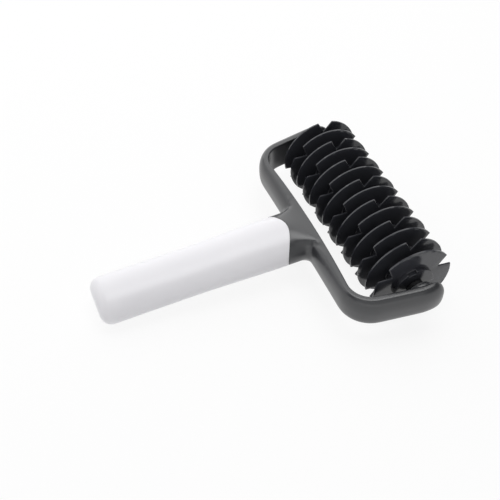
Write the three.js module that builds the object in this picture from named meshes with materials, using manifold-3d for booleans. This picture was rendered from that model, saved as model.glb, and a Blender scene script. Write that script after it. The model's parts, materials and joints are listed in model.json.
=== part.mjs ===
// Lattice roller cutter: notched discs on an axle, turning between the arms of a forked handle.
// Millimetres. The tool is drawn with X along the roller, Y from the handle towards the roller and
// Z up, its origin at the middle of the axle. It is then laid down on its discs and its handle's end.

import * as THREE from 'three';
import { mergeVertices } from 'three/addons/utils/BufferGeometryUtils.js';
import Module from 'manifold-3d';

const wasm = await Module();
wasm.setup();

const degrees = THREE.MathUtils.degToRad;

// Clearances
const FIT_GAP = 0.3; // between faces that seat on each other
const RUNNING_GAP = 0.2; // round the axle

// Cutting discs
const DISC_COUNT = 14;
const DISC_PITCH = 8;
const DISC_RADIUS = 21.9;
const BLADE_THICKNESS = 1.2;
const BLADE_EDGE = 0.8; // thickness left along the rim and in the notches
const BLADE_BEVEL = 1.4; // width of the slope from full thickness to the edge
const NOTCH_COUNT = 3;
const NOTCH_DEPTH = 6.6;
const NOTCH_HALF_ANGLE = degrees(10.7);
const FIRST_NOTCH = degrees(82.8); // from +Y towards +Z, on every second disc

// Hubs that key each disc to the next
const HUB_RADIUS = 10.9;
const HUB_SPIGOT = 2.8; // hub standing past the middle of the blade
const KEY_COUNT = 3;
const KEY_HEIGHT = 1.7;
const KEY_THICKNESS = 1.1;
const KEY_HALF_ANGLE = degrees(11);
const SLOT_LAG = degrees(40); // from a disc's notch back to its slot

// Axle and what it runs in
const AXLE_RADIUS = 3;
const BUSH_WALL = 2;
const FLANGE_WIDTH = 1.8; // standing out round the bush
const FLANGE_THICKNESS = 1.2;
const WASHER_WIDTH = 1.3; // from the bore to the rim, on the washers and the end spacer
const WASHER_THICKNESS = 1.1;
const SEAT_HEIGHT = 1.8; // round seat for the flange, standing on the arm's inner face
const SEAT_WIDTH = 1.4; // seat standing out round the flange
const SOCKET_FLOOR = 2.9; // arm left behind the blind hole that takes the bush

// Yoke: cross-bar, two splayed arms and the collar
const ROLLER_GAP = 9.6; // from the discs to the middle of the cross-bar
const BAR_THICKNESS = 7.1; // at its middle
const BAR_BOW = 1.8; // the bar's front stands back by this at its ends
const BAND_HEIGHT = 17;
const BAND_EDGE = 0.8; // chamfer on the edges next to the roller
const TOP_FLAT = 2.2; // level strip along the top, next to the roller
const TOP_FULLNESS = 1; // the outer side's upper half is a quarter of an ellipse
const UNDER_FLAT = 2.6; // level strip along the underside
const UNDER_FULLNESS = 0.7; // below 1 the outer side's lower half bulges past an ellipse
const ARM_THICKNESS = 6.1;
const ARM_SPLAY = degrees(9);
const INNER_CORNER = 12;
const NOSE_REACH = 11.5; // arm's end past the axle
const NOSE_LENGTH = 14; // stretch over which the outer side rounds in
const NOSE_FALL = 6.5; // stretch over which the top falls to the tip
const NOSE_ROUND = 5; // radius of the tip's lower corner
const TIP_ROUND = 3; // radius of the tip's inner corner, seen from above
const COLLAR_LENGTH = 5.7; // behind the bar, along the collar's top
const COPE_DEPTH = 6.3; // how much further back the collar's sides run
const COLLAR_FILLET = 3.5;

// Handle grip and the tang inside it
const GRIP_HALF_WIDTH = 15.5;
const GRIP_HALF_HEIGHT = 10;
const GRIP_TAPER = 1.1; // half-width and half-height lost between the front and the waist
const GRIP_FRONT_LENGTH = 55; // tapered stretch, over the tang
const GRIP_REAR_LENGTH = 50; // parallel stretch, solid
const GRIP_WALL = 2.6;
const GRIP_BUTT = 2.9; // half-height of the flat left inside the rounded end
const TANG_BAYS = 3;
const TANG_WEB = 2.4;

// Facets and steps
const ROUND_SEGMENTS = 18;
const GRIP_SEGMENTS = 32;
const ARC_DIVISIONS = 4;
const RIM_DIVISIONS = 8; // along each blade's rim, from notch to notch
const NOSE_STATIONS = 7;
const BAR_STATIONS = 4;
const LEVEL_STEPS = 40; // halvings of the tilt that lays the tool down

// Places that follow from the sizes
const hubHigh = HUB_SPIGOT;
const hubLow = HUB_SPIGOT + FIT_GAP - DISC_PITCH;
const slotInner = HUB_RADIUS - KEY_THICKNESS - 2 * FIT_GAP;
const keyTurn = Math.PI / KEY_COUNT;
const rollerHalf = (DISC_PITCH * (DISC_COUNT - 1)) / 2;
const axleBore = AXLE_RADIUS + RUNNING_GAP;
const bushRadius = axleBore + BUSH_WALL;
const flangeRadius = bushRadius + FLANGE_WIDTH;
const seatRadius = flangeRadius + SEAT_WIDTH;
const washerRadius = axleBore + WASHER_WIDTH;
const farHubEnd = rollerHalf - hubLow;
const flangeInner = farHubEnd + WASHER_THICKNESS + 2 * FIT_GAP;
const flangeOuter = flangeInner + FLANGE_THICKNESS;
const seatFace = flangeOuter + FIT_GAP;
const armInner = seatFace + SEAT_HEIGHT;
const socketEnd = armInner + ARM_THICKNESS - SOCKET_FLOOR;
const barFront = -DISC_RADIUS - ROLLER_GAP;
const barBack = barFront - BAR_THICKNESS;
const bandHalf = BAND_HEIGHT / 2;
const copeRadius = (GRIP_HALF_HEIGHT ** 2 + COPE_DEPTH ** 2) / (2 * COPE_DEPTH);
const gripFront = barBack - COLLAR_LENGTH;
const copeBack = gripFront - COPE_DEPTH;
const copeMiddle = copeBack + copeRadius;
const waist = gripFront - GRIP_FRONT_LENGTH;
const waistHalfWidth = GRIP_HALF_WIDTH - GRIP_TAPER;
const waistHalfHeight = GRIP_HALF_HEIGHT - GRIP_TAPER;
const gripBack = waist - GRIP_REAR_LENGTH;
const gripEndRound = waistHalfHeight - GRIP_BUTT;
const cavityHalfWidth = waistHalfWidth - GRIP_WALL;
const cavityHalfHeight = waistHalfHeight - GRIP_WALL;

const blackPlastic = { color: 0x15161a, roughness: 0.3, metalness: 0 };
const greyPlastic = { color: 0x4b4c50, roughness: 0.5, metalness: 0 };
const whitePlastic = { color: 0xeeedf0, roughness: 0.25, metalness: 0 };
const brightSteel = { color: 0xb9bcc0, roughness: 0.3, metalness: 1 };
const bushPlastic = { color: 0x4b4c50, roughness: 0.6, metalness: 0 };

// A closed surface as a solid that can be joined and cut
function solid(geometry) {
  const bare = geometry.clone();
  bare.deleteAttribute('normal');
  bare.deleteAttribute('uv');
  const merged = mergeVertices(bare);
  const corners = merged.index.array;
  const triangles = [];
  for (let i = 0; i < corners.length; i += 3) {
    const [a, b, c] = corners.slice(i, i + 3);
    if (a !== b && b !== c && c !== a) triangles.push(a, b, c);
  }
  return new wasm.Manifold(new wasm.Mesh({
    numProp: 3,
    vertProperties: Float32Array.from(merged.attributes.position.array),
    triVerts: Uint32Array.from(triangles),
  }));
}

function geometryOf(body) {
  const mesh = body.getMesh();
  const geometry = new THREE.BufferGeometry();
  geometry.setAttribute('position', new THREE.BufferAttribute(mesh.vertProperties, 3));
  geometry.setIndex(new THREE.BufferAttribute(mesh.triVerts, 1));
  geometry.computeVertexNormals();
  return geometry;
}

function meshOf(name, geometry, finish) {
  const mesh = new THREE.Mesh(geometry, new THREE.MeshStandardMaterial(finish));
  mesh.name = name;
  return mesh;
}

// A ring about X, between two places along it
function ring(inner, outer, from, to) {
  const section = [[inner, from], [outer, from], [outer, to], [inner, to], [inner, from]];
  const profile = section.map(([radius, along]) => new THREE.Vector2(radius, along));
  return new THREE.LatheGeometry(profile, ROUND_SEGMENTS).rotateZ(-Math.PI / 2);
}

function rod(radius, from, to) {
  const geometry = new THREE.CylinderGeometry(radius, radius, to - from, ROUND_SEGMENTS);
  return geometry.rotateZ(-Math.PI / 2).translate((from + to) / 2, 0, 0);
}

// A shape drawn in Y and Z, given its thickness along X from a first place
function extrudeAlongX(shape, from, options) {
  const turn = new THREE.Matrix4().makeBasis(
    new THREE.Vector3(0, 1, 0),
    new THREE.Vector3(0, 0, 1),
    new THREE.Vector3(1, 0, 0),
  );
  return new THREE.ExtrudeGeometry(shape, options).applyMatrix4(turn).translate(from, 0, 0);
}

// Rings of points joined side by side, with both ends filled
function loftGeometry(points, ringSize) {
  const triangles = [];
  const last = points.length / 3 - ringSize;
  for (let ringStart = 0; ringStart < last; ringStart += ringSize) {
    for (let i = 0; i < ringSize; i += 1) {
      const a = ringStart + i;
      const b = ringStart + ((i + 1) % ringSize);
      triangles.push(a, a + ringSize, b, b, a + ringSize, b + ringSize);
    }
  }
  for (let i = 1; i < ringSize - 1; i += 1) {
    triangles.push(0, i, i + 1, last, last + i + 1, last + i);
  }
  const geometry = new THREE.BufferGeometry();
  geometry.setAttribute('position', new THREE.Float32BufferAttribute(points, 3));
  geometry.setIndex(triangles);
  return geometry;
}

// A body along Y whose section at each station is an ellipse
function ellipticBody(stations) {
  const first = { ...stations[0], halfWidth: 0, halfHeight: 0 };
  const last = { ...stations.at(-1), halfWidth: 0, halfHeight: 0 };
  const rings = [first, ...stations, last];
  const profile = rings.map(({ y }) => new THREE.Vector2(1, y));
  const geometry = new THREE.LatheGeometry(profile, GRIP_SEGMENTS);
  const place = geometry.attributes.position;
  for (let i = 0; i < place.count; i += 1) {
    const { halfWidth, halfHeight } = rings[i % rings.length];
    place.setX(i, place.getX(i) * halfWidth);
    place.setZ(i, place.getZ(i) * halfHeight);
  }
  return geometry;
}

// The round bar that the collar's end follows and the grip's front is hollowed to
function copeBar(radius) {
  const halfLength = GRIP_HALF_WIDTH + COLLAR_FILLET;
  const bar = new THREE.CylinderGeometry(radius, radius, 2 * halfLength, 2 * GRIP_SEGMENTS);
  return solid(bar.rotateZ(-Math.PI / 2).translate(0, copeMiddle, 0));
}

function bladeOutline() {
  const shape = new THREE.Shape();
  const step = (2 * Math.PI) / NOTCH_COUNT;
  const bottom = DISC_RADIUS - NOTCH_DEPTH;
  for (let i = 0; i < NOTCH_COUNT; i += 1) {
    const notch = FIRST_NOTCH + i * step;
    const next = notch + step;
    shape.absarc(0, 0, DISC_RADIUS, notch + NOTCH_HALF_ANGLE, next - NOTCH_HALF_ANGLE);
    shape.lineTo(bottom * Math.cos(next), bottom * Math.sin(next));
  }
  shape.closePath();
  return shape;
}

// A stretch of the hub's wall, for a key or for the slot that takes it
function wallStretch(middle, halfAngle, inner, outer, from, to) {
  const shape = new THREE.Shape();
  shape.absarc(0, 0, outer, middle - halfAngle, middle + halfAngle);
  shape.absarc(0, 0, inner, middle + halfAngle, middle - halfAngle, true);
  shape.closePath();
  const options = { depth: to - from, bevelEnabled: false, curveSegments: 1 };
  return solid(extrudeAlongX(shape, from, options));
}

function discGeometry() {
  const blade = extrudeAlongX(bladeOutline(), -BLADE_EDGE / 2, {
    depth: BLADE_EDGE,
    bevelThickness: (BLADE_THICKNESS - BLADE_EDGE) / 2,
    bevelSize: BLADE_BEVEL,
    bevelOffset: -BLADE_BEVEL,
    bevelSegments: 1,
    curveSegments: RIM_DIVISIONS,
  });
  const hub = rod(HUB_RADIUS, hubLow, hubHigh);
  let disc = solid(blade).add(solid(hub)).subtract(solid(rod(axleBore, -DISC_PITCH, DISC_PITCH)));
  const slotHalfAngle = KEY_HALF_ANGLE + FIT_GAP / slotInner;
  const keyInner = slotInner + FIT_GAP;
  for (let i = 0; i < KEY_COUNT; i += 1) {
    const slot = FIRST_NOTCH - SLOT_LAG + 2 * i * keyTurn;
    const key = slot + keyTurn;
    const floor = hubHigh - KEY_HEIGHT;
    const end = hubLow - KEY_HEIGHT;
    disc = disc.subtract(
      wallStretch(slot, slotHalfAngle, slotInner, HUB_RADIUS + FIT_GAP, floor, DISC_PITCH),
    );
    disc = disc.add(wallStretch(key, KEY_HALF_ANGLE, keyInner, keyInner + KEY_THICKNESS, end, 0));
  }
  return geometryOf(disc);
}

// Discs stand in a row, each turned half a notch from the last so that its keys meet the slots
function addDiscs(group) {
  const geometry = discGeometry();
  for (let i = 0; i < DISC_COUNT; i += 1) {
    const disc = meshOf(`cutter_disc_${String(i + 1).padStart(2, '0')}`, geometry, blackPlastic);
    disc.position.x = i * DISC_PITCH - rollerHalf;
    disc.rotation.x = i % 2 === 0 ? 0 : keyTurn;
    group.add(disc);
  }
}

function addAxle(group) {
  const end = socketEnd - FIT_GAP;
  group.add(meshOf('axle', rod(AXLE_RADIUS, -end, end), brightSteel));
  const sleeve = ring(axleBore, washerRadius, rollerHalf + hubHigh + FIT_GAP, farHubEnd);
  group.add(meshOf('end_spacer', sleeve, blackPlastic));
  const washerFrom = farHubEnd + FIT_GAP;
  const washer = ring(axleBore, washerRadius, washerFrom, washerFrom + WASHER_THICKNESS);
  const bush = solid(ring(axleBore, bushRadius, flangeInner, socketEnd - FIT_GAP)).add(
    solid(ring(axleBore, flangeRadius, flangeInner, flangeOuter)),
  );
  for (const [side, turn] of [['near', 0], ['far', Math.PI]]) {
    const pieces = [
      meshOf(`thrust_washer_${side}`, washer, blackPlastic),
      meshOf(`axle_bush_${side}`, geometryOf(bush), bushPlastic),
    ];
    for (const piece of pieces) {
      piece.rotation.z = turn;
      group.add(piece);
    }
  }
}

// Half of the band's section: across from the inner face, and up from the middle
function halfSection(thickness, height, strip, fullness) {
  const edge = Math.min(BAND_EDGE, thickness / 4, height / 4);
  const flat = Math.min(strip, thickness / 2);
  const half = [[0, height - edge], [edge, height]];
  for (let i = 0; i <= ARC_DIVISIONS; i += 1) {
    const turn = ((Math.PI / 2) * i) / ARC_DIVISIONS;
    const across = flat + (thickness - flat) * Math.sin(turn) ** fullness;
    half.push([across, height * Math.cos(turn) ** fullness]);
  }
  return half;
}

// The band's section, from its inner face over the top and round to the underside
function bandSection({ thickness, top, under }) {
  const upper = halfSection(thickness, top, TOP_FLAT, TOP_FULLNESS);
  const lower = halfSection(thickness, under, UNDER_FLAT, UNDER_FULLNESS);
  const turned = lower.slice(0, -1).map(([across, up]) => [across, -up]).reverse();
  return [...upper, ...turned];
}

// How full a rounded end is, from 0 at its tip to 1 where the rounding ends
function roundedEnd(fromTip, length) {
  const left = Math.max(0, 1 - fromTip / length);
  return Math.sqrt(1 - left ** 2);
}

// Places along the inner outline of one arm and half the bar, from the arm's end to the middle.
// Past the axle the arm's inner face runs square to the axle, so the splayed arm is filled there.
function bandStations() {
  const along = new THREE.Vector2(Math.sin(ARM_SPLAY), Math.cos(ARM_SPLAY));
  const outward = new THREE.Vector2(along.y, -along.x);
  const atAxle = new THREE.Vector2(armInner, 0);
  const stations = [];
  for (let i = 1; i <= NOSE_STATIONS; i += 1) {
    const back = NOSE_LENGTH * (1 - Math.cos(((Math.PI / 2) * i) / NOSE_STATIONS));
    const place = along.clone().multiplyScalar(NOSE_REACH - back).add(atAxle);
    const splayed = Math.max(0, place.x - armInner) / outward.x;
    const fill = splayed * roundedEnd(back, TIP_ROUND);
    stations.push({
      place: place.addScaledVector(outward, -fill),
      outward,
      thickness: ARM_THICKNESS * roundedEnd(back, NOSE_LENGTH) + fill,
      top: bandHalf * roundedEnd(back, NOSE_FALL),
      under: bandHalf - NOSE_ROUND * (1 - roundedEnd(back, NOSE_ROUND)),
    });
  }
  const sweep = Math.PI / 2 - ARM_SPLAY;
  const tangent = INNER_CORNER * Math.tan(sweep / 2);
  const barEnd = barFront - BAR_BOW;
  const barHalf = armInner + barEnd * Math.tan(ARM_SPLAY) - tangent;
  const middle = new THREE.Vector2(barHalf, barEnd + INNER_CORNER);
  for (let i = 0; i <= 2 * ARC_DIVISIONS; i += 1) {
    const share = i / (2 * ARC_DIVISIONS);
    const turn = -ARM_SPLAY - share * sweep;
    const facing = new THREE.Vector2(Math.cos(turn), Math.sin(turn));
    stations.push({
      place: facing.clone().multiplyScalar(INNER_CORNER).add(middle),
      outward: facing,
      thickness: ARM_THICKNESS + share * (BAR_THICKNESS - BAR_BOW - ARM_THICKNESS),
      top: bandHalf,
      under: bandHalf,
    });
  }
  for (let i = 1; i < BAR_STATIONS; i += 1) {
    const share = i / BAR_STATIONS;
    const swell = BAR_BOW * (1 - (1 - share) ** 2);
    stations.push({
      place: new THREE.Vector2(barHalf * (1 - share), barEnd + swell),
      outward: new THREE.Vector2(0, -1),
      thickness: BAR_THICKNESS - BAR_BOW + swell,
      top: bandHalf,
      under: bandHalf,
    });
  }
  return stations;
}

// Cross-bar and arms: the section carried round the outline and closed at both ends
function bandSolid() {
  const right = bandStations();
  const left = right.map(({ place, outward, ...sizes }) => ({
    place: new THREE.Vector2(-place.x, place.y),
    outward: new THREE.Vector2(-outward.x, outward.y),
    ...sizes,
  })).reverse();
  const points = [];
  let ringSize = 0;
  for (const { place, outward, ...sizes } of [...right, ...left]) {
    const section = bandSection(sizes);
    ringSize = section.length;
    for (const [across, up] of section) {
      points.push(place.x + outward.x * across, place.y + outward.y * across, up);
    }
  }
  return solid(loftGeometry(points, ringSize));
}

// The collar slopes from the grip's height to the bar's level strip and flares out beside the bar
function collarSolid() {
  const strip = barFront - TOP_FLAT;
  const slope = (GRIP_HALF_HEIGHT - bandHalf) / (strip - gripFront);
  const halfHeightAt = (y) => GRIP_HALF_HEIGHT - slope * Math.max(0, y - gripFront);
  const straight = { halfWidth: GRIP_HALF_WIDTH, halfHeight: GRIP_HALF_HEIGHT };
  const stations = [{ y: copeBack - COLLAR_FILLET, ...straight }];
  for (let i = 0; i <= ARC_DIVISIONS; i += 1) {
    const turn = ((Math.PI / 2) * i) / ARC_DIVISIONS;
    const y = barBack - COLLAR_FILLET * (1 - Math.sin(turn));
    const flare = COLLAR_FILLET * (1 - Math.cos(turn));
    stations.push({ y, halfWidth: GRIP_HALF_WIDTH + flare, halfHeight: halfHeightAt(y) });
  }
  const sunk = strip + FIT_GAP;
  stations.push({ y: sunk, halfWidth: GRIP_HALF_WIDTH + COLLAR_FILLET, halfHeight: halfHeightAt(sunk) });
  return solid(ellipticBody(stations)).intersect(copeBar(copeRadius));
}

// An elliptic bar cored from four sides, which leaves a cross of webs between plates
function tangSolid() {
  const halfWidth = cavityHalfWidth - FIT_GAP;
  const halfHeight = cavityHalfHeight - FIT_GAP;
  const bay = (copeBack - waist) / TANG_BAYS;
  let tang = solid(ellipticBody([
    { y: waist, halfWidth, halfHeight },
    { y: copeMiddle, halfWidth, halfHeight },
  ]));
  for (let i = 0; i < TANG_BAYS; i += 1) {
    for (const sideX of [-1, 1]) {
      for (const sideZ of [-1, 1]) {
        const core = new THREE.BoxGeometry(2 * halfWidth, bay - TANG_WEB, 2 * halfHeight);
        core.translate(
          sideX * (halfWidth + TANG_WEB / 2),
          waist + i * bay + (bay + TANG_WEB) / 2,
          sideZ * (halfHeight + TANG_WEB / 2),
        );
        tang = tang.subtract(solid(core));
      }
    }
  }
  return tang;
}

function addYoke(group) {
  let yoke = bandSolid().add(collarSolid()).add(tangSolid());
  const seatRoot = armInner + seatRadius * Math.tan(ARM_SPLAY);
  yoke = yoke.add(solid(rod(seatRadius, seatFace, seatRoot)));
  yoke = yoke.add(solid(rod(seatRadius, -seatRoot, -seatFace)));
  const socketRadius = bushRadius + FIT_GAP;
  yoke = yoke.subtract(solid(rod(socketRadius, -socketEnd, socketEnd)));
  group.add(meshOf('yoke', geometryOf(yoke), greyPlastic));
}

function addGrip(group) {
  const stations = [];
  for (let i = 0; i <= ARC_DIVISIONS; i += 1) {
    const turn = ((Math.PI / 2) * i) / ARC_DIVISIONS;
    const inset = gripEndRound * (1 - Math.sin(turn));
    stations.push({
      y: gripBack + gripEndRound * (1 - Math.cos(turn)),
      halfWidth: waistHalfWidth - inset,
      halfHeight: waistHalfHeight - inset,
    });
  }
  stations.push({ y: waist, halfWidth: waistHalfWidth, halfHeight: waistHalfHeight });
  stations.push({ y: copeBack, halfWidth: GRIP_HALF_WIDTH, halfHeight: GRIP_HALF_HEIGHT });
  stations.push({ y: copeMiddle, halfWidth: GRIP_HALF_WIDTH, halfHeight: GRIP_HALF_HEIGHT });
  const cavity = solid(ellipticBody([
    { y: waist - FIT_GAP, halfWidth: cavityHalfWidth, halfHeight: cavityHalfHeight },
    { y: copeMiddle + FIT_GAP, halfWidth: cavityHalfWidth, halfHeight: cavityHalfHeight },
  ]));
  const grip = solid(ellipticBody(stations)).subtract(copeBar(copeRadius + FIT_GAP)).subtract(cavity);
  group.add(meshOf('handle_grip', geometryOf(grip), whitePlastic));
}

function lowestPoint(group, name) {
  group.updateMatrixWorld(true);
  return new THREE.Box3().setFromObject(group.getObjectByName(name), true).min.z;
}

// Tips the tool about the axle until its grip lies on the same ground as its first disc
function layDown(tool) {
  let level = 0;
  let steep = Math.PI / 4;
  for (let i = 0; i < LEVEL_STEPS; i += 1) {
    tool.rotation.x = (level + steep) / 2;
    const clear = lowestPoint(tool, 'handle_grip') > lowestPoint(tool, 'cutter_disc_01');
    if (clear) level = tool.rotation.x;
    else steep = tool.rotation.x;
  }
  const box = new THREE.Box3().setFromObject(tool, true);
  const middle = box.getCenter(new THREE.Vector3());
  tool.position.set(-middle.x, -middle.y, -box.min.z);
}

const tool = new THREE.Group();
addYoke(tool);
addGrip(tool);
addAxle(tool);
addDiscs(tool);
layDown(tool);

const cutter = new THREE.Group();
cutter.add(tool);

export default cutter;
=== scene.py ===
import json
import math

import bmesh
import bpy
from mathutils import Matrix, Vector


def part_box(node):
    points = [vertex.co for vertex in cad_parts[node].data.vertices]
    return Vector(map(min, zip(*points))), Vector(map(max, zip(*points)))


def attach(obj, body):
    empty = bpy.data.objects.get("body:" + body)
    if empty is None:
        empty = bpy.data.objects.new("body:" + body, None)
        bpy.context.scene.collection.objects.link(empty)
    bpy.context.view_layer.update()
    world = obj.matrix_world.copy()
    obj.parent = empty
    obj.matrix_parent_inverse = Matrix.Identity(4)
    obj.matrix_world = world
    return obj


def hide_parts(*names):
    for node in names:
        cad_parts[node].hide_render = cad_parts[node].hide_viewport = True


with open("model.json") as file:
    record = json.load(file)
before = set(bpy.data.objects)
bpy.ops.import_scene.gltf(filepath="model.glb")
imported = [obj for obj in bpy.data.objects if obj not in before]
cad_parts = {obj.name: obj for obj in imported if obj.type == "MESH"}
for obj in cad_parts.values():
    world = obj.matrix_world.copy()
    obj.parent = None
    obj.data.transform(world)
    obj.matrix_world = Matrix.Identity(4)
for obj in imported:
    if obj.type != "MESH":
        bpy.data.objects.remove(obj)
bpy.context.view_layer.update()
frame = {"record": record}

# Lattice roller cutter: notched discs on an axle, turning in a forked handle.
# Sizes are in millimetres, in the tool's own frame: X along the axle, Y from the handle towards
# the roller and Z up, with the origin at the middle of the axle.

# Cutting discs
DISC_COUNT = 14
DISC_PITCH = 8.0
DISC_RADIUS = 21.88
BLADE_HALF = 0.6
EDGE_HALF = 0.4
BLADE_BEVEL = 1.4
NOTCH_COUNT = 3
NOTCH_DEPTH = 6.6
NOTCH_HALF_ANGLE = math.radians(10.7)
NOTCH_ROUND = 0.35
FIRST_NOTCH = math.radians(82.8)
RIM_STEPS = 28
DISC_ROUNDING = 0.15
NOTCH_CHAMFER = 0.3

# Hubs, with slots at one end and keys at the other
HUB_RADIUS = 10.9
HUB_END = 2.8
HUB_BACK = -4.9
BORE_RADIUS = 3.2
KEY_HEIGHT = 1.7
KEY_INNER = 9.5
KEY_OUTER = 10.6
KEY_HALF_ANGLE = math.radians(10)
SLOT_INNER = 9.2
SLOT_HALF_ANGLE = math.radians(12.9)
SLOT_LAG = math.radians(40)
HUB_ROUNDING = 0.5
HUB_STEPS = 120

# Axle and what it runs in
AXLE_RADIUS = 3.0
AXLE_ROUNDING = 0.54
WASHER_RADIUS = 4.5
BUSH_RADIUS = 5.2
FLANGE_RADIUS = 7.0
FLANGE_THICKNESS = 1.2
TURNED_ROUNDING = 0.18
TURNED_STEPS = 64

# Fork: cross-bar and splayed arms
BAR_FRONT = -31.5
BAR_THICKNESS = 7.1
BAR_BOW = 1.8
BAND_HALF = 8.5
BAND_EDGE = 0.8
TOP_FLAT = 2.2
TOP_FULLNESS = 1.0
UNDER_FLAT = 2.6
UNDER_FULLNESS = 0.7
ARM_THICKNESS = 6.06
ARM_SPLAY = math.radians(9)
INNER_CORNER = 12.0
NOSE_REACH = 11.5
NOSE_LENGTH = 14.0
NOSE_FALL = 6.5
NOSE_ROUND = 5.0
TIP_ROUND = 3.0
SEAT_HEIGHT = 1.8
SEAT_RADIUS = 8.4
SEAT_ROUND = 0.3
SEAT_PATCH = 8.7
PATCH_DEPTH = 0.1
SOCKET_RADIUS = 5.5
BAR_STEPS = 17
CORNER_STEPS = 9
ARM_STEPS = 5
NOSE_STEPS = 10
INNER_ROWS = 4
EDGE_ROWS = 3
OUTER_ROWS = 8

# Collar and handle
COLLAR_COLUMNS = 7
COLLAR_LENGTH = 5.7
COLLAR_FILLET = 3.0
SLOPE_FROM = 4.0
SLOPE_FULL = 9.3
FILLET_STEPS = 5
FILLET_PULL = 0.6
COPE_DEPTH = 6.3
GRIP_HALF_WIDTH = 15.5
GRIP_HALF_HEIGHT = 10.0
GRIP_TAPER = 1.1
GRIP_FRONT_LENGTH = 55.0
GRIP_REAR_LENGTH = 50.0
GRIP_WALL = 2.6
GRIP_BUTT = 2.9
GRIP_STEPS = 64
TAPER_LAG = 2.0
TAPER_STEPS = 6
REAR_SHARES = (0.3, 0.6, 0.9)
END_STEPS = 8
BUTT_INSET = 1.0
JOINT_GAP = 0.08
JOINT_ROUND = 0.3
PART_CLEARANCE = 0.3

# Surfaces: noise scales per metre, tones of 0 to 255 and shares of roughness
DRIFT_SCALE = 55.0
DRIFT_DETAIL = 3.0
SMUDGE_SCALE = 240.0
SMUDGE_DETAIL = 4.0
GRAIN_DETAIL = 2.0
RING_STRETCH = (6000.0, 40.0, 40.0)
RING_DETAIL = 3.0
STEEL_DARK = (176, 178, 182)
STEEL_BRIGHT = (214, 216, 219)
STEEL_GLOSS = (0.2, 0.42)

# Camera: the pixel where the axle's middle falls and the sight through it, with depths in metres
IMAGE_SIZE = 500
AXLE_PIXEL = (362.04, 212.18)
CAMERA_DEPTH = 0.43714
CAMERA_LENS = 58.336
CAMERA_NEAR = 0.01
SENSOR = 36.0
CAMERA_AZIMUTH = math.radians(63.1)
CAMERA_ELEVATION = math.radians(47.65)
CAMERA_ROLL = math.radians(5.02)

# Light: soft panels in metres, placed from the middle of the axle
OVERHEAD_PLACE = Vector((-0.12, 0.03, 0.85))
OVERHEAD_SIZE = (0.75, 0.45)
OVERHEAD_LEVEL = 3.2
SIDE_PLACE = Vector((-0.85, 0.2, 0.52))
SIDE_SIZE = (1.3, 1.2)
SIDE_LEVEL = 1.4
FRONT_PLACE = Vector((-0.6, -0.8, 0.6))
FRONT_SIZE = (0.9, 0.9)
FRONT_LEVEL = 1.1
FILL_PLACE = Vector((0.85, -0.4, 0.5))
FILL_SIZE = (1.7, 1.7)
FILL_LEVEL = 0.55

# Floor, in metres, and the white surroundings
FLOOR_SIZE = 4.0
FLOOR_PAINT = 0.92
FLOOR_WHITE_SHARE = 0.88
HORIZON_TO = 0.02
DIM_FROM = 0.3
DIM_LEVEL = 0.2
WORLD_LIGHT = 0.8
WORLD_SEEN = 1.0

# Measures for finishing a mesh
MILLIMETRE = 0.001
SHARP_TURN = math.radians(50)
SAME_POINT = 1e-4
ON_PLACE = 1e-3
OUTLINE_MERGE = 0.01

# Places that follow from the sizes
NOTCH_STEP = 2 * math.pi / NOTCH_COUNT
ROLLER_HALF = DISC_PITCH * (DISC_COUNT - 1) / 2
SLOT_FLOOR = HUB_END - KEY_HEIGHT
BAR_BACK = BAR_FRONT - BAR_THICKNESS
BAR_END = BAR_FRONT - BAR_BOW
GRIP_FRONT = BAR_BACK - COLLAR_LENGTH
COPE_RADIUS = (GRIP_HALF_HEIGHT**2 + COPE_DEPTH**2) / (2 * COPE_DEPTH)
COPE_MIDDLE = GRIP_FRONT - COPE_DEPTH + COPE_RADIUS
WAIST = GRIP_FRONT - GRIP_FRONT_LENGTH
GRIP_BACK = WAIST - GRIP_REAR_LENGTH


def tool_place():
    """The tool's own frame in the model's, from the hinge and the cross-bar's level strip."""
    record = frame["record"]
    axle = Vector(record["behaviour"]["joints"][0]["pos_m"])
    level = next(Vector(mount["axis"]) for mount in record["mounts"] if mount["name"] == "bar_top")
    tilt = math.atan2(-level.y, level.z)
    return axle, Matrix.Translation(axle) @ Matrix.Rotation(tilt, 4, "X") @ Matrix.Scale(MILLIMETRE, 4)


AXLE_PLACE, TOOL = tool_place()


def millimetres(node):
    """A node's lowest and highest place along the axle."""
    low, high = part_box(node)
    return (low.x - AXLE_PLACE.x) / MILLIMETRE, (high.x - AXLE_PLACE.x) / MILLIMETRE


# Loops of edges and the surfaces between them

def loop_through(bm, points):
    verts = [bm.verts.new(point) for point in points]
    for i, vert in enumerate(verts):
        bm.edges.new((verts[i - 1], vert))
    return verts


def extrude_loop(bm, verts, points):
    """Extrudes a loop and carries the new one to its points."""
    edges = [bm.edges.get((verts[i - 1], vert)) for i, vert in enumerate(verts)]
    made = bmesh.ops.extrude_edge_only(bm, edges=edges)["geom"]
    fresh = {item for item in made if isinstance(item, bmesh.types.BMVert)}
    grown = []
    for vert, point in zip(verts, points):
        copy = next(e.other_vert(vert) for e in vert.link_edges if e.other_vert(vert) in fresh)
        copy.co = point
        grown.append(copy)
    return grown


def loft(bm, loops):
    """Carries a loop through all the others and gives back the first and the last."""
    first = loop_through(bm, loops[0])
    last = first
    for points in loops[1:]:
        last = extrude_loop(bm, last, points)
    return first, last


def close(bm, verts):
    bmesh.ops.contextual_create(bm, geom=verts)


def boundary(bm):
    return [edge for edge in bm.edges if edge.is_boundary]


def mirror_sides(bm, merge):
    """Adds the other side of a mesh that is drawn for one end of the axle."""
    whole = bm.verts[:] + bm.edges[:] + bm.faces[:]
    bmesh.ops.mirror(bm, geom=whole, axis="X", merge_dist=merge)


def tidy(bm):
    bmesh.ops.remove_doubles(bm, verts=bm.verts, dist=SAME_POINT)
    bmesh.ops.recalc_face_normals(bm, faces=bm.faces)


def sharp_edges(bm):
    return [edge for edge in bm.edges if edge.is_manifold and edge.calc_face_angle() > SHARP_TURN]


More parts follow.
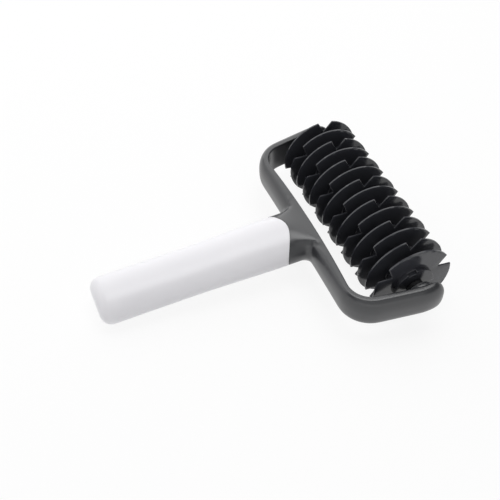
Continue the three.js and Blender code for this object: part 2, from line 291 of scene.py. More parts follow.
def round_sharp_edges(bm, offset):
    """Rounds every outer edge that turns sharply."""
    outer = [edge for edge in sharp_edges(bm) if edge.is_convex]
    bmesh.ops.bevel(
        bm, geom=outer, offset=offset, offset_type="OFFSET", segments=2, profile=0.5,
        affect="EDGES", material=-1, clamp_overlap=True,
    )


def piece(bm, name, body, slot, material, *nodes, levels=0):
    """Makes a finished object of a mesh drawn in the tool's frame, in place of its nodes."""
    if not levels:
        for edge in sharp_edges(bm):
            edge.smooth = False
    bmesh.ops.transform(bm, matrix=TOOL, verts=bm.verts)
    mesh = bpy.data.meshes.new(name)
    bm.to_mesh(mesh)
    bm.free()
    mesh.polygons.foreach_set("use_smooth", [True] * len(mesh.polygons))
    mesh.materials.append(material)
    made = bpy.data.objects.new(name, mesh)
    bpy.context.scene.collection.objects.link(made)
    if levels:
        smooth = made.modifiers.new("smooth", "SUBSURF")
        smooth.levels = levels
        smooth.render_levels = levels
    else:
        normals = made.modifiers.new("normals", "WEIGHTED_NORMAL")
        normals.weight = 100
        normals.keep_sharp = True
    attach(made, body)
    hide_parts(*nodes)
    return made


# Materials

def linear(*tone):
    """A screen tone of 0 to 255 for each channel, as linear light."""
    shares = [value / 255 for value in tone]
    return [s / 12.92 if s <= 0.04045 else ((s + 0.055) / 1.055) ** 2.4 for s in shares] + [1.0]


def moulded_grain_group():
    """Moulded plastic: slow drift of tone and gloss, and a fine grain to bump with."""
    group = bpy.data.node_groups.new("moulded_grain", "ShaderNodeTree")
    for name, way, kind in (
        ("Tone", "INPUT", "NodeSocketColor"),
        ("Drift tone", "INPUT", "NodeSocketColor"),
        ("Gloss low", "INPUT", "NodeSocketFloat"),
        ("Gloss high", "INPUT", "NodeSocketFloat"),
        ("Grain scale", "INPUT", "NodeSocketFloat"),
        ("Colour", "OUTPUT", "NodeSocketColor"),
        ("Roughness", "OUTPUT", "NodeSocketFloat"),
        ("Height", "OUTPUT", "NodeSocketFloat"),
    ):
        group.interface.new_socket(name=name, in_out=way, socket_type=kind)
    nodes = group.nodes
    links = group.links
    given = nodes.new("NodeGroupInput")
    result = nodes.new("NodeGroupOutput")
    place = nodes.new("ShaderNodeTexCoord")
    drift = nodes.new("ShaderNodeTexNoise")
    drift.inputs["Scale"].default_value = DRIFT_SCALE
    drift.inputs["Detail"].default_value = DRIFT_DETAIL
    smudge = nodes.new("ShaderNodeTexNoise")
    smudge.inputs["Scale"].default_value = SMUDGE_SCALE
    smudge.inputs["Detail"].default_value = SMUDGE_DETAIL
    grain = nodes.new("ShaderNodeTexNoise")
    grain.inputs["Detail"].default_value = GRAIN_DETAIL
    for texture in (drift, smudge, grain):
        links.new(place.outputs["Object"], texture.inputs["Vector"])
    links.new(given.outputs["Grain scale"], grain.inputs["Scale"])
    blend = nodes.new("ShaderNodeMix")
    blend.data_type = "RGBA"
    links.new(drift.outputs["Fac"], blend.inputs["Factor"])
    links.new(given.outputs["Tone"], blend.inputs["A"])
    links.new(given.outputs["Drift tone"], blend.inputs["B"])
    gloss = nodes.new("ShaderNodeMapRange")
    links.new(smudge.outputs["Fac"], gloss.inputs["Value"])
    links.new(given.outputs["Gloss low"], gloss.inputs["To Min"])
    links.new(given.outputs["Gloss high"], gloss.inputs["To Max"])
    links.new(blend.outputs["Result"], result.inputs["Colour"])
    links.new(gloss.outputs["Result"], result.inputs["Roughness"])
    links.new(grain.outputs["Fac"], result.inputs["Height"])
    return group


def plastic(name, grain, tone, drift_tone, gloss, grain_scale, grain_depth, shine):
    """A moulded plastic, with its grain's depth in metres."""
    material = bpy.data.materials.new(name)
    material.use_nodes = True
    nodes = material.node_tree.nodes
    links = material.node_tree.links
    shader = nodes["Principled BSDF"]
    surface = nodes.new("ShaderNodeGroup")
    surface.node_tree = grain
    surface.inputs["Tone"].default_value = linear(*tone)
    surface.inputs["Drift tone"].default_value = linear(*drift_tone)
    surface.inputs["Gloss low"].default_value = gloss[0]
    surface.inputs["Gloss high"].default_value = gloss[1]
    surface.inputs["Grain scale"].default_value = grain_scale
    bump = nodes.new("ShaderNodeBump")
    bump.inputs["Distance"].default_value = grain_depth
    bump.inputs["Strength"].default_value = 1.0
    links.new(surface.outputs["Colour"], shader.inputs["Base Color"])
    links.new(surface.outputs["Roughness"], shader.inputs["Roughness"])
    links.new(surface.outputs["Height"], bump.inputs["Height"])
    links.new(bump.outputs["Normal"], shader.inputs["Normal"])
    shader.inputs["Specular IOR Level"].default_value = shine
    return material


def turned_steel():
    """Bright steel with the fine rings that turning leaves round the axle."""
    material = bpy.data.materials.new("turned_steel")
    material.use_nodes = True
    nodes = material.node_tree.nodes
    links = material.node_tree.links
    shader = nodes["Principled BSDF"]
    shader.inputs["Metallic"].default_value = 1.0
    place = nodes.new("ShaderNodeTexCoord")
    stretch = nodes.new("ShaderNodeMapping")
    stretch.inputs["Scale"].default_value = RING_STRETCH
    rings = nodes.new("ShaderNodeTexNoise")
    rings.inputs["Scale"].default_value = 1.0
    rings.inputs["Detail"].default_value = RING_DETAIL
    tone = nodes.new("ShaderNodeValToRGB")
    tone.color_ramp.elements[0].color = linear(*STEEL_DARK)
    tone.color_ramp.elements[1].color = linear(*STEEL_BRIGHT)
    gloss = nodes.new("ShaderNodeMapRange")
    gloss.inputs["To Min"].default_value = STEEL_GLOSS[0]
    gloss.inputs["To Max"].default_value = STEEL_GLOSS[1]
    links.new(place.outputs["Object"], stretch.inputs["Vector"])
    links.new(stretch.outputs["Vector"], rings.inputs["Vector"])
    links.new(rings.outputs["Fac"], tone.inputs["Fac"])
    links.new(rings.outputs["Fac"], gloss.inputs["Value"])
    links.new(tone.outputs["Color"], shader.inputs["Base Color"])
    links.new(gloss.outputs["Result"], shader.inputs["Roughness"])
    return material


GRAIN = moulded_grain_group()
FORK_GREY = plastic(
    "fork_grey", GRAIN, tone=(44, 45, 48), drift_tone=(40, 41, 44), gloss=(0.26, 0.32),
    grain_scale=2600.0, grain_depth=0.000003, shine=0.85,
)
GRIP_WHITE = plastic(
    "grip_white", GRAIN, tone=(231, 230, 233), drift_tone=(227, 226, 230), gloss=(0.26, 0.34),
    grain_scale=1800.0, grain_depth=0.000003, shine=0.5,
)
DISC_BLACK = plastic(
    "disc_black", GRAIN, tone=(56, 57, 62), drift_tone=(50, 51, 56), gloss=(0.1, 0.16),
    grain_scale=2200.0, grain_depth=0.000001, shine=0.5,
)
WASHER_BLACK = plastic(
    "washer_black", GRAIN, tone=(34, 34, 36), drift_tone=(29, 29, 31), gloss=(0.55, 0.65),
    grain_scale=2600.0, grain_depth=0.000004, shine=0.3,
)
BUSH_GREY = plastic(
    "bush_grey", GRAIN, tone=(53, 54, 57), drift_tone=(48, 49, 52), gloss=(0.35, 0.45),
    grain_scale=2600.0, grain_depth=0.000004, shine=0.5,
)
STEEL = turned_steel()


# Cutting discs

def round_axle(radius, angle, along=0.0):
    return Vector((along, radius * math.cos(angle), radius * math.sin(angle)))


def spin_about_axle(bm, geom, angle, steps, **how):
    return bmesh.ops.spin(
        bm, geom=geom, cent=(0, 0, 0), axis=(1, 0, 0), dvec=(0, 0, 0), angle=angle, steps=steps, **how
    )


def blade_outline(bm):
    """The notched outline: one rim and one notch, turned to all three places, as a face."""
    corner = bm.verts.new(round_axle(DISC_RADIUS, FIRST_NOTCH + NOTCH_HALF_ANGLE))
    rim = spin_about_axle(bm, [corner], NOTCH_STEP - 2 * NOTCH_HALF_ANGLE, RIM_STEPS)["geom_last"]
    end = next(item for item in rim if isinstance(item, bmesh.types.BMVert))
    notch = FIRST_NOTCH + NOTCH_STEP
    for point in (
        round_axle(DISC_RADIUS - NOTCH_DEPTH, notch),
        round_axle(DISC_RADIUS, notch + NOTCH_HALF_ANGLE),
    ):
        end = bmesh.ops.extrude_vert_indiv(bm, verts=[end])["verts"][0]
        end.co = point
    spin_about_axle(bm, bm.verts[:] + bm.edges[:], 2 * math.pi, NOTCH_COUNT, use_duplicate=True)
    bmesh.ops.remove_doubles(bm, verts=bm.verts, dist=OUTLINE_MERGE)
    close(bm, bm.verts[:])
    bottoms = [v for v in bm.verts if v.co.length < DISC_RADIUS - NOTCH_DEPTH / 2]
    bmesh.ops.bevel(
        bm, geom=bottoms, offset=NOTCH_ROUND, segments=3, profile=0.5, affect="VERTICES", material=-1
    )


def add_blade(bm):
    """Both faces of the blade, thinned towards its outline, with the hub's hole left open."""
    blade_outline(bm)
    face = bm.faces[:][0]
    rim = face.verts[:]
    bmesh.ops.inset_region(
        bm, faces=[face], thickness=BLADE_BEVEL, use_boundary=True, use_even_offset=True
    )
    middle = max(bm.faces, key=lambda item: item.calc_area())
    inner = middle.edges[:]
    bmesh.ops.translate(bm, verts=rim, vec=(EDGE_HALF, 0, 0))
    bmesh.ops.translate(bm, verts=middle.verts[:], vec=(BLADE_HALF, 0, 0))
    bmesh.ops.delete(bm, geom=[middle], context="FACES_ONLY")
    turn = Matrix.Rotation(FIRST_NOTCH - SLOT_LAG, 4, "X") @ Matrix.Rotation(math.pi / 2, 4, "Y")
    hole = bmesh.ops.create_circle(
        bm, segments=HUB_STEPS, radius=HUB_RADIUS, cap_ends=False,
        matrix=Matrix.Translation((BLADE_HALF, 0, 0)) @ turn,
    )["verts"]
    around = {edge for vert in hole for edge in vert.link_edges}
    bmesh.ops.bridge_loops(bm, edges=inner + list(around))
    mirror_sides(bm, SAME_POINT)
    outline = [e for e in boundary(bm) if abs(e.verts[0].co.x) < (EDGE_HALF + BLADE_HALF) / 2]
    bmesh.ops.bridge_loops(bm, edges=outline)


def turned_by(face, start):
    """How far a face lies from the nearest of a ring of keys that starts at an angle."""
    middle = face.calc_center_median()
    angle = math.atan2(middle.z, middle.y) - start
    return abs((angle + NOTCH_STEP / 2) % NOTCH_STEP - NOTCH_STEP / 2)


def ring_faces(bm, along, inner, outer):
    """Faces square to the axle, at a place along it, between two radii."""
    found = []
    for face in bm.faces:
        middle = face.calc_center_median()
        level = max(abs(vert.co.x - along) for vert in face.verts) < ON_PLACE
        if level and inner < math.hypot(middle.y, middle.z) < outer:
            found.append(face)
    return found


def join(bm, other):
    """Adds all of another mesh to a mesh."""
    holder = bpy.data.meshes.new("holder")
    other.to_mesh(holder)
    other.free()
    bm.from_mesh(holder)
    bpy.data.meshes.remove(holder)


def push_out(bm, faces, distance):
    made = bmesh.ops.extrude_face_region(bm, geom=faces)["geom"]
    verts = [item for item in made if isinstance(item, bmesh.types.BMVert)]
    bmesh.ops.translate(bm, verts=verts, vec=(distance, 0, 0))
    bmesh.ops.delete(bm, geom=faces, context="FACES")


def add_hub(bm):
    """The hub's section spun round the axle, with slots sunk in one end and keys on the other."""
    slot = FIRST_NOTCH - SLOT_LAG
    section = [
        (BLADE_HALF, HUB_RADIUS),
        (SLOT_FLOOR, HUB_RADIUS),
        (HUB_END, HUB_RADIUS),
        (HUB_END, SLOT_INNER),
        (HUB_END, BORE_RADIUS),
        (HUB_BACK, BORE_RADIUS),
        (HUB_BACK, KEY_INNER),
        (HUB_BACK, KEY_OUTER),
        (HUB_BACK, HUB_RADIUS),
        (-BLADE_HALF, HUB_RADIUS),
    ]
    verts = [bm.verts.new(round_axle(radius, slot, along)) for along, radius in section]
    edges = [bm.edges.new(pair) for pair in zip(verts, verts[1:])]
    spin_about_axle(bm, verts + edges, 2 * math.pi, HUB_STEPS, use_merge=True)
    tidy(bm)
    end = ring_faces(bm, HUB_END, SLOT_INNER, HUB_RADIUS)
    push_out(bm, [face for face in end if turned_by(face, slot) < SLOT_HALF_ANGLE], -KEY_HEIGHT)
    mouths = []
    for face in bm.faces:
        reach = min(math.hypot(vert.co.y, vert.co.z) for vert in face.verts)
        on_rim = reach > HUB_RADIUS - ON_PLACE
        past_floor = min(vert.co.x for vert in face.verts) > SLOT_FLOOR - ON_PLACE
        if on_rim and past_floor and turned_by(face, slot) < SLOT_HALF_ANGLE:
            mouths.append(face)
    bmesh.ops.delete(bm, geom=mouths, context="FACES")
    back = ring_faces(bm, HUB_BACK, KEY_INNER, KEY_OUTER)
    key = slot + NOTCH_STEP / 2
    push_out(bm, [face for face in back if turned_by(face, key) < KEY_HALF_ANGLE], -KEY_HEIGHT)
    tidy(bm)


def chamfer_notches(bm):
    """A flat chamfer along both edges of each notch."""
    edges = []
    for edge in bm.edges:
        one, other = (vert.co for vert in edge.verts)
        along_side = abs(one.x - other.x) < ON_PLACE
        on_outline = along_side and abs(abs(one.x) - EDGE_HALF) < ON_PLACE
        reach = min(math.hypot(one.y, one.z), math.hypot(other.y, other.z))
        if on_outline and reach < DISC_RADIUS - EDGE_HALF:
            edges.append(edge)
    flats = set(bmesh.ops.bevel(
        bm, geom=edges, offset=NOTCH_CHAMFER, offset_type="OFFSET", segments=1, profile=0.5,
        affect="EDGES", material=-1, clamp_overlap=True,
    )["faces"])
    for face in flats:
        for edge in face.edges:
            edge.smooth = flats.issuperset(edge.link_faces)


def make_discs():
    whole = bmesh.new()
    add_blade(whole)
    tidy(whole)
    chamfer_notches(whole)
    hub = bmesh.new()
    add_hub(hub)
    round_sharp_edges(hub, HUB_ROUNDING)
    join(whole, hub)
    tidy(whole)
    round_sharp_edges(whole, DISC_ROUNDING)
    for i in range(DISC_COUNT):
        disc = whole.copy()
        if i % 2:
            half_notch = Matrix.Rotation(NOTCH_STEP / 2, 3, "X")
            bmesh.ops.rotate(disc, verts=disc.verts, cent=(0, 0, 0), matrix=half_notch)
        bmesh.ops.translate(disc, verts=disc.verts, vec=(i * DISC_PITCH - ROLLER_HALF, 0, 0))
        number = f"{i + 1:02d}"
        node = f"cutter_disc_{number}"
        piece(disc, f"notched_disc_{number}", "roller", "disc_black", DISC_BLACK, node)
    whole.free()


# Axle, bushes, washers and spacer

def turned_piece(name, section, body, slot, material, node, rounding=TURNED_ROUNDING):
    """A section of (along, radius) points, closed on itself or on the axle, spun round the axle."""
    bm = bmesh.new()
    verts = [bm.verts.new((along, radius, 0)) for along, radius in section]
    edges = [bm.edges.new(pair) for pair in zip(verts, verts[1:])]
    if section[0][1] > 0:
        edges.append(bm.edges.new((verts[-1], verts[0])))
    spin_about_axle(bm, verts + edges, 2 * math.pi, TURNED_STEPS, use_merge=True)
    tidy(bm)
    round_sharp_edges(bm, rounding)
    piece(bm, name, body, slot, material, node)


def ring_section(node):
    """The section of a plain ring that is as long as its node."""
    low, high = millimetres(node)
    return [(low, BORE_RADIUS), (high, BORE_RADIUS), (high, WASHER_RADIUS), (low, WASHER_RADIUS)]


def make_axle():
    low, high = millimetres("axle")
    rod = [(low, 0), (low, AXLE_RADIUS), (high, AXLE_RADIUS), (high, 0)]
    turned_piece("axle_rod", rod, "roller", "axle_steel", STEEL, "axle", AXLE_ROUNDING)


def make_spacer():
    sleeve = ring_section("end_spacer")
    turned_piece("spacer_sleeve", sleeve, "roller", "disc_black", WASHER_BLACK, "end_spacer")


def make_washer(side):
    node = f"thrust_washer_{side}"
    washer = ring_section(node)
    turned_piece(f"washer_{side}", washer, "roller", "disc_black", WASHER_BLACK, node)


def make_bush(side):
    """A bush in an arm, with its flange towards the roller."""
    node = f"axle_bush_{side}"
    inner, outer = sorted(millimetres(node), key=abs)
    shoulder = inner + math.copysign(FLANGE_THICKNESS, inner)
    bush = [
        (inner, BORE_RADIUS),
        (outer, BORE_RADIUS),
        (outer, BUSH_RADIUS),
        (shoulder, BUSH_RADIUS),
        (shoulder, FLANGE_RADIUS),
        (inner, FLANGE_RADIUS),
    ]
    turned_piece(f"flanged_bush_{side}", bush, "frame", "bush_grey", BUSH_GREY, node)


# Fork

def half_section(thickness, half_height, flat, fullness):
    """Half of the band's section, from the inner face's middle to the outer side's: (across, up)."""
    edge = min(BAND_EDGE, thickness / 4, half_height / 4)
    flat = min(flat, thickness / 2)
    points = [(0.0, (half_height - edge) * i / INNER_ROWS) for i in range(INNER_ROWS)]
    for i in range(EDGE_ROWS + 1):
        turn = math.pi / 2 * i / EDGE_ROWS
        points.append((edge * (1 - math.cos(turn)), half_height - edge * (1 - math.sin(turn))))
    for i in range(OUTER_ROWS + 1):
        turn = math.pi / 2 * i / OUTER_ROWS
        across = flat + (thickness - flat) * math.sin(turn) ** fullness
        points.append((across, half_height * max(math.cos(turn), 0.0) ** fullness))
    return points


def band_section(thickness, top, under, top_flat=TOP_FLAT):
    """The band's section once round. Its top rounds over sooner than its underside."""
    upper = half_section(thickness, top, top_flat, TOP_FULLNESS)
    lower = half_section(thickness, under, UNDER_FLAT, UNDER_FULLNESS)
    return upper + [(across, -up) for across, up in reversed(lower[1:-1])]


def eased(share):
    """A share of 0 to 1 that starts and ends gently."""
    return share**2 * (3 - 2 * share)


def rounded_end(from_tip, length):
    """How full a rounded end is, from 0 at its tip to 1 where the rounding ends."""
    left = max(0.0, 1 - from_tip / length)
    return math.sqrt(1 - left**2)


def arm_axle_place():
    """Where the arm's inner face crosses the axle's line, behind the seat of the bush's flange."""
    flange_front = min(millimetres("axle_bush_near"))
    return flange_front + FLANGE_THICKNESS + PART_CLEARANCE + SEAT_HEIGHT


ARM_INNER = arm_axle_place()
SWEEP = math.pi / 2 - ARM_SPLAY
BAR_HALF = ARM_INNER + BAR_END * math.tan(ARM_SPLAY) - INNER_CORNER * math.tan(SWEEP / 2)


def band_loops():
    """Sections from the bar's middle, round the corner and along the arm to its nose.

    Past the axle the arm's inner face runs square to the axle.
    """
    stations = []
    for i in range(BAR_STEPS + 1):
        share = i / BAR_STEPS
        swell = BAR_BOW * (1 - share**2)
        place = Vector((BAR_HALF * share, BAR_END + swell))
        thickness = BAR_THICKNESS - BAR_BOW + swell
        stations.append((place, Vector((0, -1)), thickness, BAND_HALF, BAND_HALF))
    corner = Vector((BAR_HALF, BAR_END + INNER_CORNER))
    bar_end_thickness = BAR_THICKNESS - BAR_BOW
    for i in range(1, CORNER_STEPS + 1):
        share = i / CORNER_STEPS
        turn = -math.pi / 2 + share * SWEEP
        facing = Vector((math.cos(turn), math.sin(turn)))
        thickness = bar_end_thickness + share * (ARM_THICKNESS - bar_end_thickness)
        stations.append((corner + INNER_CORNER * facing, facing, thickness, BAND_HALF, BAND_HALF))
    along = Vector((math.sin(ARM_SPLAY), math.cos(ARM_SPLAY)))
    outward = Vector((along.y, -along.x))
    at_axle = Vector((ARM_INNER, 0))
    arm_from = (stations[-1][0] - at_axle).dot(along)
    arm_to = NOSE_REACH - NOSE_LENGTH
    for i in range(1, ARM_STEPS + 1):
        reach = arm_from + (arm_to - arm_from) * i / ARM_STEPS
        stations.append((at_axle + reach * along, outward, ARM_THICKNESS, BAND_HALF, BAND_HALF))
    for i in range(NOSE_STEPS - 1, 0, -1):
        back = NOSE_LENGTH * (1 - math.cos(math.pi / 2 * i / NOSE_STEPS))
        place = at_axle + (NOSE_REACH - back) * along
        fill = max(0.0, place.x - ARM_INNER) / outward.x * rounded_end(back, TIP_ROUND)
        thickness = ARM_THICKNESS * rounded_end(back, NOSE_LENGTH) + fill
        top = BAND_HALF * rounded_end(back, NOSE_FALL)
        under = BAND_HALF - NOSE_ROUND * (1 - rounded_end(back, NOSE_ROUND))
        top_flat = BAND_EDGE + (TOP_FLAT - BAND_EDGE) * back / NOSE_LENGTH
        stations.append((place - fill * outward, outward, thickness, top, under, top_flat))
    loops = []
    for place, facing, *sizes in stations:
        section = band_section(*sizes)
        loops.append([(*(place + across * facing), up) for across, up in section])
    return loops


def open_patch(bm, belongs):
    """Takes out the faces whose middles belong to a patch, and gives the loop round the hole."""
    before = set(boundary(bm))
    faces = [face for face in bm.faces if belongs(face.calc_center_median())]
    bmesh.ops.delete(bm, geom=faces, context="FACES")
    return [edge for edge in boundary(bm) if edge not in before]


def add_seat(bm):
    """A round seat for the bush's flange on the arm's inner face, with the bush's blind hole in it."""
    def inner_face(across):
        return ARM_INNER + min(0.0, across) * math.tan(ARM_SPLAY)

    def near_axle(middle):
        depth = abs(middle.x - inner_face(middle.y))
        return depth < PATCH_DEPTH and abs(middle.y) < SEAT_PATCH

    hole = open_patch(bm, near_axle)
    points = [round_axle(1.0, 2 * math.pi * i / len(hole)) for i in range(len(hole))]

    def square_to_axle(radius, along):
        return [(along, radius * p.y, radius * p.z) for p in points]

    seat = ARM_INNER - SEAT_HEIGHT
    rim = square_to_axle(SEAT_RADIUS, seat + SEAT_ROUND)
    foot = [(inner_face(y), y, z) for _, y, z in rim]
    side = [((inner_face(y) + along) / 2, y, z) for along, y, z in rim]
    floor = max(millimetres("axle_bush_near")) + PART_CLEARANCE
    first, last = loft(bm, [
        foot,
        side,
        rim,
        square_to_axle(SEAT_RADIUS - SEAT_ROUND, seat),
        square_to_axle(SOCKET_RADIUS + SEAT_ROUND, seat),
        square_to_axle(SOCKET_RADIUS, seat + SEAT_ROUND),
        square_to_axle(SOCKET_RADIUS, floor - SEAT_ROUND),
        square_to_axle(SOCKET_RADIUS - SEAT_ROUND, floor),
    ])
    close(bm, last)
    around = [bm.edges.get((first[i - 1], vert)) for i, vert in enumerate(first)]
    bmesh.ops.bridge_loops(bm, edges=hole + around)


def saddle(up, gap=0.0):
    """How far along the tool the collar's end lies at a height; the grip's front keeps a gap."""
    return COPE_MIDDLE - math.sqrt((COPE_RADIUS + gap) ** 2 - up**2)


def oval(half_width, half_height, reach):
    """A loop round the handle, whose place along it may change with the height."""
    points = []
    for i in range(GRIP_STEPS):
        turn = 2 * math.pi * i / GRIP_STEPS
        up = half_height * math.cos(turn)
        points.append((half_width * math.sin(turn), reach(up), up))
    return points


def bar_back(across, up):
    """Where the bar's outer side lies along the tool, at a place across the bar and a height."""
    swell = BAR_BOW * (1 - (across / BAR_HALF) ** 2)
    thickness = BAR_THICKNESS - BAR_BOW + swell
    flat, fullness = (TOP_FLAT, TOP_FULLNESS) if up > 0 else (UNDER_FLAT, UNDER_FULLNESS)
    level = min(abs(up) / BAND_HALF, 1.0) ** (1 / fullness)
    bulge = math.sqrt(1 - level**2) ** fullness
    return BAR_END + swell - flat - (thickness - flat) * bulge


def collar_fillet(turn):
    """A curve from the bar's back to the collar: hollow at the sides, straight over the bar's top."""
    side = math.cos(turn)
    rise = math.sin(turn)
    height = GRIP_HALF_HEIGHT * abs(rise)

    def on_bar(spread):
        across = (GRIP_HALF_WIDTH + spread) * side
        up = max(-BAND_HALF, min(BAND_HALF, (GRIP_HALF_HEIGHT + spread) * rise))
        return Vector((across, bar_back(across, up), up))

    foot = on_bar(COLLAR_FILLET)
    meeting = on_bar(0.0)
    over = eased(max(0.0, min(1.0, (height - SLOPE_FROM) / (SLOPE_FULL - SLOPE_FROM))))
    slope_run = meeting.y - saddle(height) - 2 * JOINT_ROUND
    run = COLLAR_FILLET + (slope_run - COLLAR_FILLET) * over
    top = Vector((GRIP_HALF_WIDTH * side, meeting.y - run, GRIP_HALF_HEIGHT * rise))
    foot_pull = foot.lerp(meeting, FILLET_PULL).lerp(foot.lerp(top, 1 / 3), over)
    top_pull = (top + Vector((0, FILLET_PULL * run, 0))).lerp(top.lerp(foot, 1 / 3), over)
    curve = []
    for i in range(FILLET_STEPS + 1):
        share = i / FILLET_STEPS
        near = foot.lerp(foot_pull, share).lerp(foot_pull.lerp(top_pull, share), share)
        far = foot_pull.lerp(top_pull, share).lerp(top_pull.lerp(top, share), share)
        curve.append(near.lerp(far, share))
    return curve


def add_collar(bm):
    """The collar grows out of the bar's back, ends in a saddle and carries the tang."""
    edge_column = COLLAR_COLUMNS / BAR_STEPS * BAR_HALF

    def on_back(middle):
        front = BAR_END + BAR_BOW * (1 - (middle.x / BAR_HALF) ** 2)
        flat = TOP_FLAT if middle.z > 0 else UNDER_FLAT
        return abs(middle.x) < edge_column and front - middle.y > flat

    def turn_of(vert):
        return math.atan2(
            vert.co.z / (GRIP_HALF_HEIGHT + COLLAR_FILLET), vert.co.x / (GRIP_HALF_WIDTH + COLLAR_FILLET)
        )

    rim = sorted({vert for edge in open_patch(bm, on_back) for vert in edge.verts}, key=turn_of)
    turns = [turn_of(vert) for vert in rim]
    fillets = [collar_fillet(turn) for turn in turns]
    for vert, curve in zip(rim, fillets):
        vert.co = curve[0]
    loops = [[curve[i] for curve in fillets] for i in range(1, FILLET_STEPS + 1)]
    tang_width = GRIP_HALF_WIDTH - GRIP_TAPER - GRIP_WALL - PART_CLEARANCE
    tang_height = GRIP_HALF_HEIGHT - GRIP_TAPER - GRIP_WALL - PART_CLEARANCE
    ends = [curve[-1].y for curve in fillets]

    def ring(half_width, half_height, reaches):
        points = []
        for turn, reach in zip(turns, reaches):
            points.append((half_width * math.cos(turn), reach, half_height * math.sin(turn)))
        return points

    def on_saddle(inset, half_width=GRIP_HALF_WIDTH, half_height=GRIP_HALF_HEIGHT, back=0.0):
        reaches = [saddle((half_height - inset) * math.sin(turn)) + back for turn in turns]
        return ring(half_width - inset, half_height - inset, reaches)

    edge = on_saddle(0.0, back=JOINT_ROUND)
    middle = [(end + point[1]) / 2 for end, point in zip(ends, edge)]
    loops.append(ring(GRIP_HALF_WIDTH, GRIP_HALF_HEIGHT, middle))
    loops.append(edge)
    loops.append(on_saddle(0.0))
    loops.append(on_saddle(JOINT_ROUND))
    loops.append(on_saddle(0.0, tang_width, tang_height))
    for inset, reach in ((0.0, WAIST + JOINT_ROUND), (0.0, WAIST), (JOINT_ROUND, WAIST)):
        loops.append(ring(tang_width - inset, tang_height - inset, [reach] * len(turns)))
    last = rim
    for points in loops:
        last = extrude_loop(bm, last, points)
    close(bm, last)


def make_fork():
    bm = bmesh.new()
    tip = loft(bm, band_loops())[1]
    close(bm, tip)
    add_seat(bm)
    mirror_sides(bm, ON_PLACE)
    add_collar(bm)
    tidy(bm)
    piece(bm, "fork", "frame", "yoke_grey", FORK_GREY, "yoke", levels=2)


# Handle

def make_grip():
    """A hollow oval handle: from the floor of its bore, out over its front and back to its butt."""
    waist_width = GRIP_HALF_WIDTH - GRIP_TAPER
    waist_height = GRIP_HALF_HEIGHT - GRIP_TAPER
    bore_width = waist_width - GRIP_WALL
    bore_height = waist_height - GRIP_WALL
    end_round = waist_height - GRIP_BUTT

    def front(up):
        return saddle(up, JOINT_GAP)

    def behind_front(up):
        return front(up) - JOINT_ROUND

    def level(reach):
        return lambda up: reach

    bore_floor = WAIST - PART_CLEARANCE
    loops = [
        oval(bore_width - JOINT_ROUND, bore_height - JOINT_ROUND, level(bore_floor)),
        oval(bore_width, bore_height, level(bore_floor)),
        oval(bore_width, bore_height, level(bore_floor + JOINT_ROUND)),
        oval(bore_width, bore_height, behind_front),
        oval(bore_width, bore_height, front),
        oval(GRIP_HALF_WIDTH - JOINT_ROUND, GRIP_HALF_HEIGHT - JOINT_ROUND, front),
        oval(GRIP_HALF_WIDTH, GRIP_HALF_HEIGHT, front),
        oval(GRIP_HALF_WIDTH, GRIP_HALF_HEIGHT, behind_front),
    ]
    taper_from = GRIP_FRONT - COPE_DEPTH
    for i in range(1, TAPER_STEPS + 1):
        share = i / TAPER_STEPS
        loss = GRIP_TAPER * eased(share)
        reach = taper_from - TAPER_LAG + (WAIST - taper_from) * share
        loops.append(oval(GRIP_HALF_WIDTH - loss, GRIP_HALF_HEIGHT - loss, level(reach)))
    for share in REAR_SHARES:
        reach = WAIST - (GRIP_REAR_LENGTH - end_round) * share
        loops.append(oval(waist_width, waist_height, level(reach)))
    for i in range(END_STEPS + 1):
        turn = math.pi / 2 * i / END_STEPS
        inset = end_round * (1 - math.cos(turn))
        reach = GRIP_BACK + end_round * (1 - math.sin(turn))
        loops.append(oval(waist_width - inset, waist_height - inset, level(reach)))
    butt = end_round + BUTT_INSET
    loops.append(oval(waist_width - butt, waist_height - butt, level(GRIP_BACK)))
    bm = bmesh.new()
    floor, end = loft(bm, loops)
    close(bm, floor)
    close(bm, end)
    tidy(bm)
    piece(bm, "grip", "frame", "grip_white", GRIP_WHITE, "handle_grip", levels=2)


# Stage

def seen_rays(nodes, links):
    """One where a ray comes from the camera, a reflection or a clear material, and else zero."""
    path = nodes.new("ShaderNodeLightPath")
    either = nodes.new("ShaderNodeMath")
    either.operation = "MAXIMUM"
    links.new(path.outputs["Is Camera Ray"], either.inputs[0])
    links.new(path.outputs["Is Glossy Ray"], either.inputs[1])
    seen = nodes.new("ShaderNodeMath")
    seen.operation = "MAXIMUM"
    links.new(either.outputs["Value"], seen.inputs[0])
    links.new(path.outputs["Is Transmission Ray"], seen.inputs[1])
    return seen.outputs["Value"]


def make_floor():
    bm = bmesh.new()
    bmesh.ops.create_grid(bm, x_segments=1, y_segments=1, size=FLOOR_SIZE / 2)
    mesh = bpy.data.meshes.new("floor")
    bm.to_mesh(mesh)
    bm.free()
    floor = bpy.data.objects.new("floor", mesh)
    bpy.context.scene.collection.objects.link(floor)
    material = bpy.data.materials.new("pale_floor")
    material.use_nodes = True
    nodes = material.node_tree.nodes
    links = material.node_tree.links
    nodes.remove(nodes["Principled BSDF"])
    paint = nodes.new("ShaderNodeBsdfDiffuse")
    paint.inputs["Color"].default_value = (FLOOR_PAINT, FLOOR_PAINT, FLOOR_PAINT, 1)
    white = nodes.new("ShaderNodeEmission")
    white.inputs["Strength"].default_value = 1.0
    share = nodes.new("ShaderNodeMath")
    share.operation = "MULTIPLY"
    share.inputs[1].default_value = FLOOR_WHITE_SHARE
    links.new(seen_rays(nodes, links), share.inputs[0])
    blend = nodes.new("ShaderNodeMixShader")
    links.new(share.outputs["Value"], blend.inputs["Fac"])
    links.new(paint.outputs["BSDF"], blend.inputs[1])
    links.new(white.outputs["Emission"], blend.inputs[2])
    links.new(blend.outputs["Shader"], nodes["Material Output"].inputs["Surface"])
    mesh.materials.append(material)


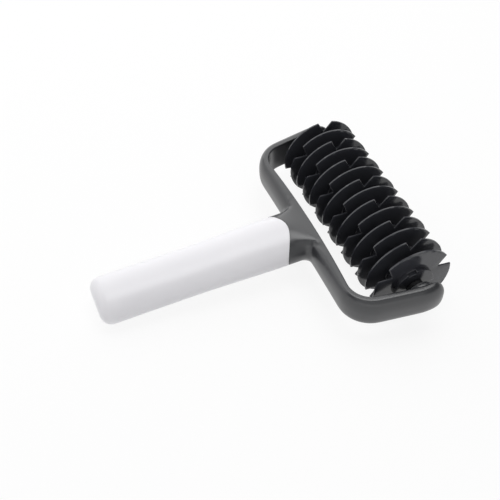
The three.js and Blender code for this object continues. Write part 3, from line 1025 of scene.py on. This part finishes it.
def make_world():
    """White round the horizon, falling to a dim studio overhead."""
    world = bpy.data.worlds.new("studio")
    bpy.context.scene.world = world
    world.use_nodes = True
    nodes = world.node_tree.nodes
    links = world.node_tree.links
    sky = nodes["Background"]
    place = nodes.new("ShaderNodeTexCoord")
    split = nodes.new("ShaderNodeSeparateXYZ")
    ramp = nodes.new("ShaderNodeValToRGB")
    ramp.color_ramp.elements[0].position = HORIZON_TO
    ramp.color_ramp.elements[0].color = (1, 1, 1, 1)
    ramp.color_ramp.elements[1].position = DIM_FROM
    ramp.color_ramp.elements[1].color = (DIM_LEVEL, DIM_LEVEL, DIM_LEVEL, 1)
    links.new(place.outputs["Generated"], split.inputs["Vector"])
    links.new(split.outputs["Z"], ramp.inputs["Fac"])
    links.new(ramp.outputs["Color"], sky.inputs["Color"])
    level = nodes.new("ShaderNodeMapRange")
    level.inputs["To Min"].default_value = WORLD_LIGHT
    level.inputs["To Max"].default_value = WORLD_SEEN
    links.new(seen_rays(nodes, links), level.inputs["Value"])
    links.new(level.outputs["Result"], sky.inputs["Strength"])


def soft_panel(name, place, size, level):
    """A panel, so long and so high, that faces the tool with the brightness that it shows."""
    lamp = bpy.data.lights.new(name, "AREA")
    lamp.shape = "RECTANGLE"
    lamp.size, lamp.size_y = size
    lamp.energy = level * math.pi * lamp.size * lamp.size_y
    panel = bpy.data.objects.new(name, lamp)
    panel.location = AXLE_PLACE + place
    panel.rotation_euler = place.to_track_quat("Z", "Y").to_euler()
    bpy.context.scene.collection.objects.link(panel)


def make_light():
    soft_panel("overhead_softbox", OVERHEAD_PLACE, OVERHEAD_SIZE, OVERHEAD_LEVEL)
    soft_panel("side_softbox", SIDE_PLACE, SIDE_SIZE, SIDE_LEVEL)
    soft_panel("front_softbox", FRONT_PLACE, FRONT_SIZE, FRONT_LEVEL)
    soft_panel("fill_softbox", FILL_PLACE, FILL_SIZE, FILL_LEVEL)


def make_camera():
    """A camera that sees the axle's middle at its pixel, at its depth along the sight."""
    turn = Matrix.Rotation(CAMERA_AZIMUTH, 4, "Z")
    lean = Matrix.Rotation(math.pi / 2 - CAMERA_ELEVATION, 4, "X")
    aim = turn @ lean @ Matrix.Rotation(CAMERA_ROLL, 4, "Z")
    focal = CAMERA_LENS / SENSOR * IMAGE_SIZE
    right = (AXLE_PIXEL[0] - IMAGE_SIZE / 2) / focal
    down = (AXLE_PIXEL[1] - IMAGE_SIZE / 2) / focal
    to_axle = aim.to_3x3() @ Vector((right, -down, -1)) * CAMERA_DEPTH
    data = bpy.data.cameras.new("camera")
    data.lens = CAMERA_LENS
    data.sensor_width = SENSOR
    data.clip_start = CAMERA_NEAR
    camera = bpy.data.objects.new("camera", data)
    camera.matrix_world = Matrix.Translation(AXLE_PLACE - to_axle) @ aim
    bpy.context.scene.collection.objects.link(camera)
    bpy.context.scene.camera = camera


make_camera()
make_floor()
make_world()
make_light()
make_discs()
make_axle()
make_spacer()
for arm_side in ("near", "far"):
    make_washer(arm_side)
    make_bush(arm_side)
make_fork()
make_grip()

bpy.context.scene.view_settings.view_transform = "Standard"
